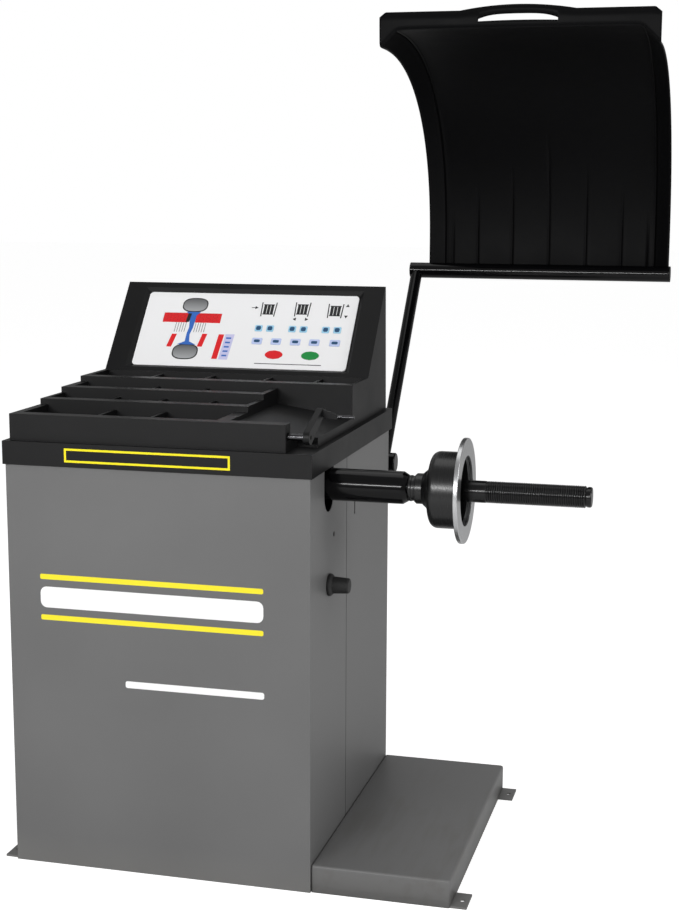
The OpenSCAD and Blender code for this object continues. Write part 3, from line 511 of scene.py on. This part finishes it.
# Unlit segments show through the window only as a slightly darker red. Sizes are in mm.
dark_segment = even_finish("unlit_segment", "#C20B15", 0.25)
SEGMENT, DIGIT_WIDTH, DIGIT_HEIGHT = 2.2, 9.0, 17.0
MITRE = 3.0                 # what a segment's ends leave for its neighbours
DIGIT_PITCH = 15            # three digits in each window
READOUT_OUT, READOUT_UP = 36.5, 29  # a window's middle: sideways from both, up from the panel's
SEGMENT_BASE, SEGMENT_FILM = -0.42, 0.1     # the windows lie a little below the panel's face
window_low, window_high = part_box("readouts")
window_x = ((window_low + window_high) / 2 - panel_middle).x / MM
segments = bmesh.new()
for side in (-1, 1):
    for place_in_row in (-1, 0, 1):
        x = window_x + side * READOUT_OUT + place_in_row * DIGIT_PITCH
        bars = [box_outline(x, READOUT_UP + up, DIGIT_WIDTH - MITRE, SEGMENT)
                for up in (-DIGIT_HEIGHT / 2, 0, DIGIT_HEIGHT / 2)]
        bars += [box_outline(x + across * DIGIT_WIDTH / 2, READOUT_UP + up * DIGIT_HEIGHT / 4,
                             SEGMENT, DIGIT_HEIGHT / 2 - MITRE)
                 for across in (-1, 1) for up in (-1, 1)]
        for bar in bars:
            add_print(segments, bar, SEGMENT_BASE, SEGMENT_FILM)
new_piece("readout_segments", segments, "cabinet", dark_segment)

# Solder mask is a dark green lacquer, paler where it crosses the copper tracks.
solder_mask, tree, shader = new_material("green_solder_mask", "#14502A", 0.35)
place = add(tree, "TexCoord").outputs["Object"]
tracks = add(tree, "TexBrick", {"Vector": place, "Scale": 1 / (30 * MM), "Mortar Size": 0.03,
                                "Color1": srgb("#14502A"), "Color2": srgb("#175A30"),
                                "Mortar": srgb("#2C7A45")})
tree.links.new(tracks.outputs["Color"], shader.inputs["Base Color"])
coat("computer_board", solder_mask)

# ---- Panel keys --------------------------------------------------------------------------------
# Small domed keys moulded in pale plastic, each with a dark blue legend patch, and two larger oval
# ones: red to stop and green to start. Each moves by half a millimetre.

# Moulded key plastic is a clear, even tint with a soft sheen; the oval buttons are glossier.
dome_plastic = even_finish("pale_blue_key_plastic", "#9CCFEA", 0.4)
menu_plastic = even_finish("lavender_key_plastic", "#BCC9EE", 0.4)
legend_ink = even_finish("dark_blue_legend", "#12486F", 0.35)
stop_red = even_finish("red_key_plastic", "#DA0F1A", 0.3)
start_green = even_finish("green_key_plastic", "#05883A", 0.3)
# in mm: how far a key stands out of the panel, and the sizes of the legend on it
KEY_TOP, LEGEND_FILM = 0.8, 0.12
DOT_LEGEND = 10.5
BAR_LEGEND_INSET, BAR_LEGEND_HEIGHT = 9, 7
for node in [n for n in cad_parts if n.startswith("key_")]:
    stepping = node.endswith(("_up", "_down"))
    coat(node, dome_plastic if stepping else menu_plastic)
    soften(node, 0.6 * MM, segments=3)
    low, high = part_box(node)
    middle = (low + high) / 2 - panel_middle
    x, up = middle.x / MM, middle.dot(face_up) / MM
    width = (high.x - low.x) / MM
    if stepping:
        outline = oval_outline(x, up, DOT_LEGEND, DOT_LEGEND, 3.2)
    else:
        outline = oval_outline(x, up, width - BAR_LEGEND_INSET, BAR_LEGEND_HEIGHT, 4.0)
    patch = bmesh.new()
    add_print(patch, outline, KEY_TOP, LEGEND_FILM)
    new_piece(node + "_legend", patch, node + "_body", legend_ink)
for node, material in (("stop_button", stop_red), ("start_button", start_green)):
    coat(node, material)
    soften(node, 0.7 * MM, segments=3)

# ---- Spindle -----------------------------------------------------------------------------------
# An enamelled steel tube that stays still, and the turning parts in it: a ground shaft, a plated hub
# with a hollow drum, a polished ring that the wheel rests on, and a blackened thread for the cone.

FLOW = 6 * MM               # width of the paint's slow waves

# Black enamel is glossy, and its slow waves bend the long highlight along a tube.
black_enamel, tree, shader = new_material("black_enamel_on_steel", "#060607", 0.16)
shader.inputs["Specular IOR Level"].default_value = 0.2
place = add(tree, "TexCoord").outputs["Object"]
flow = add(tree, "TexNoise", {"Vector": place, "Scale": 1 / FLOW, "Detail": 2.0})
level = add(tree, "Bump", {"Height": flow.outputs["Fac"], "Strength": 0.08,
                           "Distance": 0.2 * MM})
tree.links.new(level.outputs["Normal"], shader.inputs["Normal"])
cloud = add(tree, "TexNoise", {"Vector": place, "Scale": 1 / (90 * MM), "Detail": 3.0})
gloss = add(tree, "MapRange", {"Value": cloud.outputs["Fac"], "To Min": 0.1, "To Max": 0.16})
tree.links.new(gloss.outputs["Result"], shader.inputs["Roughness"])


def turned_metal(name, colour, roughness, centre, pitch, depth=0.25, metallic=1.0):
    """Lathe-turned metal: fine rings about an axis along X, with streaks of shine."""
    material, tree, shader = new_material(name, colour, roughness, metallic)
    place = add(tree, "TexCoord").outputs["Object"]
    about = add(tree, "Mapping", {"Vector": place, "Location": tuple(-c for c in centre)})
    split = add(tree, "SeparateXYZ", {"Vector": about.outputs["Vector"]})
    across = add(tree, "CombineXYZ", {"Y": split.outputs["Y"], "Z": split.outputs["Z"]})
    radius = add(tree, "VectorMath", {0: across.outputs["Vector"]}, operation="LENGTH")
    along = add(tree, "Math", {0: radius.outputs["Value"], 1: split.outputs["X"]})
    count = add(tree, "Math", {0: along.outputs[0], 1: 1 / pitch}, operation="MULTIPLY")
    rings = add(tree, "TexNoise", {"W": count.outputs[0], "Scale": 1.0, "Detail": 2.0},
                noise_dimensions="1D")
    cut = add(tree, "Bump", {"Height": rings.outputs["Fac"], "Strength": depth,
                             "Distance": 0.05 * MM})
    tree.links.new(cut.outputs["Normal"], shader.inputs["Normal"])
    streak = add(tree, "MapRange", {"Value": rings.outputs["Fac"], "From Min": 0.3,
                                    "From Max": 0.7, "To Min": roughness - 0.06,
                                    "To Max": roughness + 0.12})
    tree.links.new(streak.outputs["Result"], shader.inputs["Roughness"])
    return material


TURNING = 0.9 * MM          # feed marks, drawn coarser than the real 0.1 mm
ring_low, ring_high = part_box("face_ring")
spindle_axis = ((ring_low + ring_high) / 2).to_tuple()
# Polished steel is bright, with fine rings of shine from the lathe.
polished_steel = turned_metal("polished_turned_steel", "#C0C1C2", 0.26, spindle_axis, TURNING)
# Blackened steel and satin black nickel look like dark glass over black: the oxide on the thread is
# sharper and dimmer, and the plating on the drum is broader and brighter.
black_oxide = turned_metal("blackened_steel", "#060607", 0.18, spindle_axis, TURNING, 0.1, 0.0)
black_nickel = turned_metal("satin_black_nickel", "#060607", 0.26, spindle_axis, TURNING, 0.04,
                            0.0)
for dark_metal, reflection in ((black_oxide, 0.36), (black_nickel, 0.5)):
    shader = dark_metal.node_tree.nodes["Principled BSDF"]
    shader.inputs["Specular IOR Level"].default_value = reflection
# Ground steel is a duller grey than the polished ring.
ground_steel = turned_metal("ground_steel", "#9A9B9D", 0.3, spindle_axis, TURNING)

coat("spindle_housing", black_enamel)
soften("spindle_housing", 0.6 * MM)
coat("flange_cup", black_nickel)
coat("threaded_shaft", black_oxide)
for node in ("flange_cup", "threaded_shaft"):
    soften(node, 0.3 * MM)
coat("face_ring", polished_steel)
soften("face_ring", 0.5 * MM)
for node in ("spindle_shaft", "spindle_bearings"):
    coat(node, ground_steel)
    soften(node, 0.4 * MM)

# ---- Spindle support and drive, inside the cabinet ----------------------------------------------
# A welded post in grey primer carries the saddle, its sensors and the motor; pulleys are turned
# aluminium, and the belt is ribbed rubber.

# Primer is a flat, dry grey, a little blotchy from the spray.
primer, tree, shader = new_material("grey_primer_on_steel", "#3C3D40", 0.6)
place = add(tree, "TexCoord").outputs["Object"]
spray = add(tree, "TexNoise", {"Vector": place, "Scale": 1 / (3 * MM), "Detail": 3.0})
film = add(tree, "ValToRGB", {"Fac": spray.outputs["Fac"]})
film.color_ramp.elements[0].color = srgb("#37383B")
film.color_ramp.elements[1].color = srgb("#44454A")
tree.links.new(film.outputs["Color"], shader.inputs["Base Color"])
for node in ("base_pan", "top_frame", "support_post", "vibration_frame", "motor_bracket",
             "hood_bracket"):
    coat(node, primer)
    soften(node, 0.4 * MM)

# Die-cast aluminium is dull and bright grey, with a fine blasted skin.
cast_alloy, tree, shader = new_material("die_cast_aluminium", "#8B8D90", 0.45, 1.0)
place = add(tree, "TexCoord").outputs["Object"]
blast = add(tree, "TexNoise", {"Vector": place, "Scale": 1 / (1.5 * MM), "Detail": 4.0})
pits = add(tree, "Bump", {"Height": blast.outputs["Fac"], "Strength": 0.3, "Distance": 0.1 * MM})
tree.links.new(pits.outputs["Normal"], shader.inputs["Normal"])
coat("drive_motor", cast_alloy)
soften("drive_motor", 0.8 * MM)

# Turned aluminium is paler than the ground steel, with the same rings.
turned_alloy = turned_metal("turned_aluminium", "#B4B6B8", 0.3, spindle_axis, TURNING)
for node in ("spindle_pulley", "motor_pulley", "gauge_carriage"):
    coat(node, turned_alloy)
    soften(node, 0.4 * MM)

# Belt rubber is matt and nearly black, with ribs along its run. They are drawn at about twice the
# real pitch of a light ribbed belt, so that they show.
RIB_PITCH = 2.34 * MM
belt_rubber, tree, shader = new_material("ribbed_belt_rubber", "#171717", 0.7)
place = add(tree, "TexCoord").outputs["Object"]
ribs = add(tree, "TexWave", {"Vector": place, "Scale": 1 / RIB_PITCH / math.tau},
           bands_direction="X")
raised = add(tree, "Bump", {"Height": ribs.outputs["Fac"], "Strength": 0.6, "Distance": MM})
tree.links.new(raised.outputs["Normal"], shader.inputs["Normal"])
coat("drive_belt", belt_rubber)

# Brass is warm yellow and shiny, and duller in patches where it has been handled.
brass, tree, shader = new_material("brass_sensor_case", "#B08A45", 0.3, 1.0)
place = add(tree, "TexCoord").outputs["Object"]
brush = add(tree, "TexNoise", {"Vector": place, "Scale": 1 / (2 * MM), "Detail": 3.0})
patina = add(tree, "MapRange", {"Value": brush.outputs["Fac"], "To Min": 0.22, "To Max": 0.42})
tree.links.new(patina.outputs["Result"], shader.inputs["Roughness"])
coat("force_sensors", brass)

# Acetal is a waxy off-white.
acetal = even_finish("white_acetal", "#DCDAD2", 0.45)
for node in ("encoder_disc", "gauge_bushes"):
    coat(node, acetal)
    soften(node, 0.3 * MM)

# ---- Distance gauge ----------------------------------------------------------------------------
# A plated rod slides out of the tray's front lip and turns; a moulded arm on its end carries a
# tapered finger with a plated pin that touches the wheel's rim.

# Dark plating gives the rod and the pin a smoky metal shine, with long highlights.
rod_low, rod_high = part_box("gauge_rod")
rod_axis = ((rod_low + rod_high) / 2).to_tuple()
plated_rod = turned_metal("dark_plated_rod_steel", "#4A4A4C", 0.2, rod_axis, TURNING, 0.1)
coat("gauge_rod", plated_rod)
soften("gauge_rod", 0.6 * MM)
coat("gauge_pin", plated_rod)
soften("gauge_pin", 0.8 * MM, segments=3)
coat("gauge_arm", black_abs)
soften("gauge_arm", 1.2 * MM, segments=3)

# ---- Hood --------------------------------------------------------------------------------------
# One sheet of black plastic, vacuum formed to a quarter of an oval: both sides flare out as
# cheeks, creases stiffen its foot, and the front turns up into a lip with a slot for the fingers.

HOOD_SHEET = 3.0 * MM
CHEEK_WIDTH, CHEEK_DEPTH, CHEEK_BEND = 33.0 * MM, 34.0 * MM, 7.0 * MM
CREASE_DEPTH, CREASE_HALF = 2.4 * MM, 5.0 * MM      # how far it stands out, and half its width
CREASE_FADE = 70.0 * MM     # length over which a crease dies away at its top
LIP_RISE, LIP_CORNER, CORNER_SLOPE = 28.0 * MM, 12.0 * MM, 0.8
ARCH_RISE, ARCH_HALF = 10.0 * MM, 112.0 * MM        # the lip's top edge bows up in its middle
SLOT_HALF, SLOT_TALL, SLOT_ENDS = 77.0 * MM, 12.0 * MM, 0.35    # its ends are this part as tall
SLOT_LIFT, SLOT_BOW = 2.0 * MM, 3.0 * MM            # its foot above the bend, and its own bow
BEND = 6.0 * MM             # radius of the bend from the curve up into the lip
SQUARE = 0.88               # 1 is an ellipse, and less is squarer
STRAIGHT = 62.0 * MM        # upright stretch behind the pipe, below the curve
CURVE_STEPS, WIDTH_STEPS = 46, 68
# creases: distance from the middle, and height of the top end above the foot
CREASES = [(0, 310), (84, 245), (-84, 245), (164, 200), (-164, 200), (222, 140), (-222, 140)]

guard_low, guard_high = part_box("hood_guard")
guard_width = guard_high.x - guard_low.x
curve_top = guard_high.z - LIP_RISE - ARCH_RISE
inset = CREASE_DEPTH + 0.1 * MM     # the sheet lies this far inside, so creases stay in the box
run = guard_high.y - guard_low.y - inset
spring = guard_low.z + STRAIGHT     # where the curve starts
rise = curve_top - inset - spring


def guard_rows():
    """The sheet from its foot to the bend: place (y, z) and inward direction of each row."""
    rows = [((guard_high.y - inset, guard_low.z + STRAIGHT * k / 5), (-1.0, 0.0))
            for k in range(5)]
    # the curve ends where the bend into the lip begins, at this many degrees
    curve_end = math.degrees(math.acos((BEND / run) ** (1 / SQUARE)))
    for k in range(CURVE_STEPS + 1):
        angle = math.radians(curve_end * k / CURVE_STEPS)
        c, s = math.cos(angle), math.sin(angle)
        inward = Vector((-c ** (2 - SQUARE) / run, -s ** (2 - SQUARE) / rise)).normalized()
        rows.append(((guard_low.y + run * c ** SQUARE, spring + rise * s ** SQUARE),
                     tuple(inward)))
    for k in range(1, 5):
        angle = math.radians(90 * k / 4)
        rows.append(((guard_low.y + BEND * (1 - math.sin(angle)),
                      curve_top - inset + BEND * (1 - math.cos(angle))), (0.0, -1.0)))
    return rows


def flare(x):
    """How deep the section lies at x from its nearer end, with a soft bend into the cheek."""
    ramp = CHEEK_DEPTH * (1 - x / CHEEK_WIDTH)
    return (ramp + math.sqrt(ramp * ramp + CHEEK_BEND ** 2)) / 2


def crease(x, z):
    """How far a crease stands out of the sheet's back at this place."""
    out = 0.0
    for middle, tall in CREASES:
        near = 1 - abs(x - middle * MM) / CREASE_HALF
        if near > 0:
            taper = min(1.0, max(0.0, (guard_low.z + tall * MM - z) / CREASE_FADE))
            out = max(out, CREASE_DEPTH * near * near * (3 - 2 * near) * taper)
    return out


half_width = guard_width / 2
# places across the width, closer together in the cheeks' bends, the creases and the slot's ends
stations = {round(-half_width + guard_width * k / WIDTH_STEPS, 5) for k in range(WIDTH_STEPS + 1)}
for k in range(1, 12):
    stations |= {round(s * (half_width - CHEEK_WIDTH * 1.3 * k / 12), 5) for s in (-1, 1)}
for middle, _ in CREASES:
    stations |= {round(middle * MM + CREASE_HALF * k / 4, 5) for k in range(-4, 5)}
stations |= {-SLOT_HALF, SLOT_HALF, -SLOT_HALF + 3 * MM, SLOT_HALF - 3 * MM}
stations = sorted(stations)

hood = bmesh.new()
grid = []
for (y, z), (iy, iz) in guard_rows():
    row = []
    for x in stations:
        deep = flare(half_width - abs(x)) - crease(x, z)
        row.append(hood.verts.new((guard_low.x + half_width + x, y + iy * deep, z + iz * deep)))
    grid.append(row)

# the lip in three levels: below the slot, above it, and the top edge with cut-off corners
lip_foot = curve_top - inset + BEND
for level in range(3):
    row = []
    for x in stations:
        bow = max(0.0, 1 - (x / ARCH_HALF) ** 2)
        reach = max(0.0, 1 - (x / SLOT_HALF) ** 4)
        low = lip_foot + SLOT_LIFT + SLOT_BOW * bow
        high = low + (SLOT_TALL * (SLOT_ENDS + (1 - SLOT_ENDS) * reach)
                      if abs(x) <= SLOT_HALF else 5 * MM)
        top = curve_top + LIP_RISE + (ARCH_RISE - 0.1 * MM) * bow      # 0.1 mm inside the box
        top -= max(0.0, LIP_CORNER - (half_width - abs(x))) * CORNER_SLOPE
        row.append(hood.verts.new((guard_low.x + half_width + x, guard_low.y,
                                   (low, high, top)[level])))
    grid.append(row)
slot_row = len(grid) - 3
for r in range(len(grid) - 1):
    for c in range(len(stations) - 1):
        middle = (stations[c] + stations[c + 1]) / 2
        if r == slot_row and abs(middle) < SLOT_HALF:
            continue
        hood.faces.new((grid[r][c], grid[r][c + 1], grid[r + 1][c + 1], grid[r + 1][c]))

RIPPLE = 70 * MM            # width of the slow waves that forming leaves
HAIRCELL = 1.6 * MM         # drawn coarser than the real 0.5 mm so that it shows

# Vacuum-formed sheet is nearly black and satin. Its hair-cell grain dulls it, and slow ripples from
# forming stretch the highlights.
formed_sheet, tree, shader = new_material("formed_black_plastic_sheet", "#050506", 0.5)
shader.inputs["Specular IOR Level"].default_value = 0.08
place = add(tree, "TexCoord").outputs["Object"]
haircell = add(tree, "TexVoronoi", {"Vector": place, "Scale": 1 / HAIRCELL})
ripple = add(tree, "TexNoise", {"Vector": place, "Scale": 1 / RIPPLE, "Detail": 2.0})
gloss = add(tree, "MapRange", {"Value": ripple.outputs["Fac"], "To Min": 0.44, "To Max": 0.58})
tree.links.new(gloss.outputs["Result"], shader.inputs["Roughness"])
texture = add(tree, "Bump", {"Height": haircell.outputs["Distance"], "Strength": 0.12,
                             "Distance": 0.1 * MM})
wavy = add(tree, "Bump", {"Height": ripple.outputs["Fac"], "Strength": 0.25,
                          "Distance": 0.6 * MM, "Normal": texture.outputs["Normal"]})
tree.links.new(wavy.outputs["Normal"], shader.inputs["Normal"])
guard = new_piece("hood_sheet", hood, "hood", formed_sheet,
                  replaces=["hood_guard"], sharp=50)
wall = guard.modifiers.new("sheet", "SOLIDIFY")
wall.thickness = HOOD_SHEET
wall.offset = -1.0
wall.use_even_offset = True

for node in ("hood_arm", "hood_pipe", "hood_shaft"):
    coat(node, black_enamel)
soften("hood_arm", 0.3 * MM)
soften("hood_shaft", 0.8 * MM)

# Moulded rubber is matt black with a chalky bloom.
soft_rubber, tree, shader = new_material("moulded_black_rubber", "#151515", 0.62)
place = add(tree, "TexCoord").outputs["Object"]
bloom = add(tree, "TexNoise", {"Vector": place, "Scale": 1 / (5 * MM), "Detail": 4.0})
chalky = add(tree, "MapRange", {"Value": bloom.outputs["Fac"], "To Min": 0.52, "To Max": 0.74})
tree.links.new(chalky.outputs["Result"], shader.inputs["Roughness"])
for node in ("pipe_caps", "accessory_peg"):
    coat(node, soft_rubber)
soften("pipe_caps", 0.8 * MM, segments=3)
soften("accessory_peg", 1.2 * MM, segments=3)

# ---- Fasteners, spring and rocker --------------------------------------------------------------
# Zinc-plated steel screws and a coiled spring, and the moulded red rocker of the mains switch.

# Zinc plate is a bright silver grey with faint yellow and blue in it.
zinc, tree, shader = new_material("zinc_plated_steel", "#B9BCC0", 0.32, 1.0)
place = add(tree, "TexCoord").outputs["Object"]
spangle = add(tree, "TexNoise", {"Vector": place, "Scale": 1 / (2.5 * MM), "Detail": 3.0})
hue = add(tree, "ValToRGB", {"Fac": spangle.outputs["Fac"]})
hue.color_ramp.elements[0].color = srgb("#A9ADB2")
hue.color_ramp.elements[1].color = srgb("#C6C4B8")
tree.links.new(hue.outputs["Color"], shader.inputs["Base Color"])
for node in ("cover_screws", "hood_screws", "hood_spring"):
    coat(node, zinc)
for node in ("cover_screws", "hood_screws"):
    soften(node, 0.4 * MM)

# The rocker's plastic is a strong, glossy red.
rocker_red = even_finish("red_rocker_plastic", "#C8141C", 0.28)
coat("power_rocker", rocker_red)
soften("power_rocker", 0.5 * MM)

# ---- Front decoration --------------------------------------------------------------------------
# Plain vinyl stripes on the cabinet's front, cut with rounded ends: a broad white one between two
# thin yellow ones, and a short white one below.

VINYL = 0.15 * MM           # film thickness
END_ROUNDING = 0.3          # of a stripe's height

# Vinyl film is an even, strong colour with a soft gloss.
white_vinyl = even_finish("white_vinyl", "#F4F4F4", 0.3)
yellow_vinyl = even_finish("yellow_vinyl", "#F2E21A", 0.3)
cabinet_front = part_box("front_shell")[0].y
# each stripe: middle along X and up, width and height in metres, and its vinyl
for name, x, z, width, height, material in [
    ("front_stripe_white", -0.144, 0.527, 0.436, 0.040, white_vinyl),
    ("front_stripe_yellow_high", -0.144, 0.566, 0.436, 0.010, yellow_vinyl),
    ("front_stripe_yellow_low", -0.144, 0.488, 0.436, 0.010, yellow_vinyl),
    ("front_stripe_white_small", -0.060, 0.370, 0.270, 0.013, white_vinyl),
]:
    stripe = bmesh.new()
    add_block(stripe, (x - width / 2, cabinet_front - VINYL, z - height / 2),
              (x + width / 2, cabinet_front, z + height / 2))
    corners = [e for e in stripe.edges if abs(e.verts[0].co.y - e.verts[1].co.y) > VINYL / 2]
    bmesh.ops.bevel(stripe, geom=corners, offset=height * END_ROUNDING, segments=4, profile=0.5,
                    affect="EDGES")
    new_piece(name, stripe, "cabinet", material)
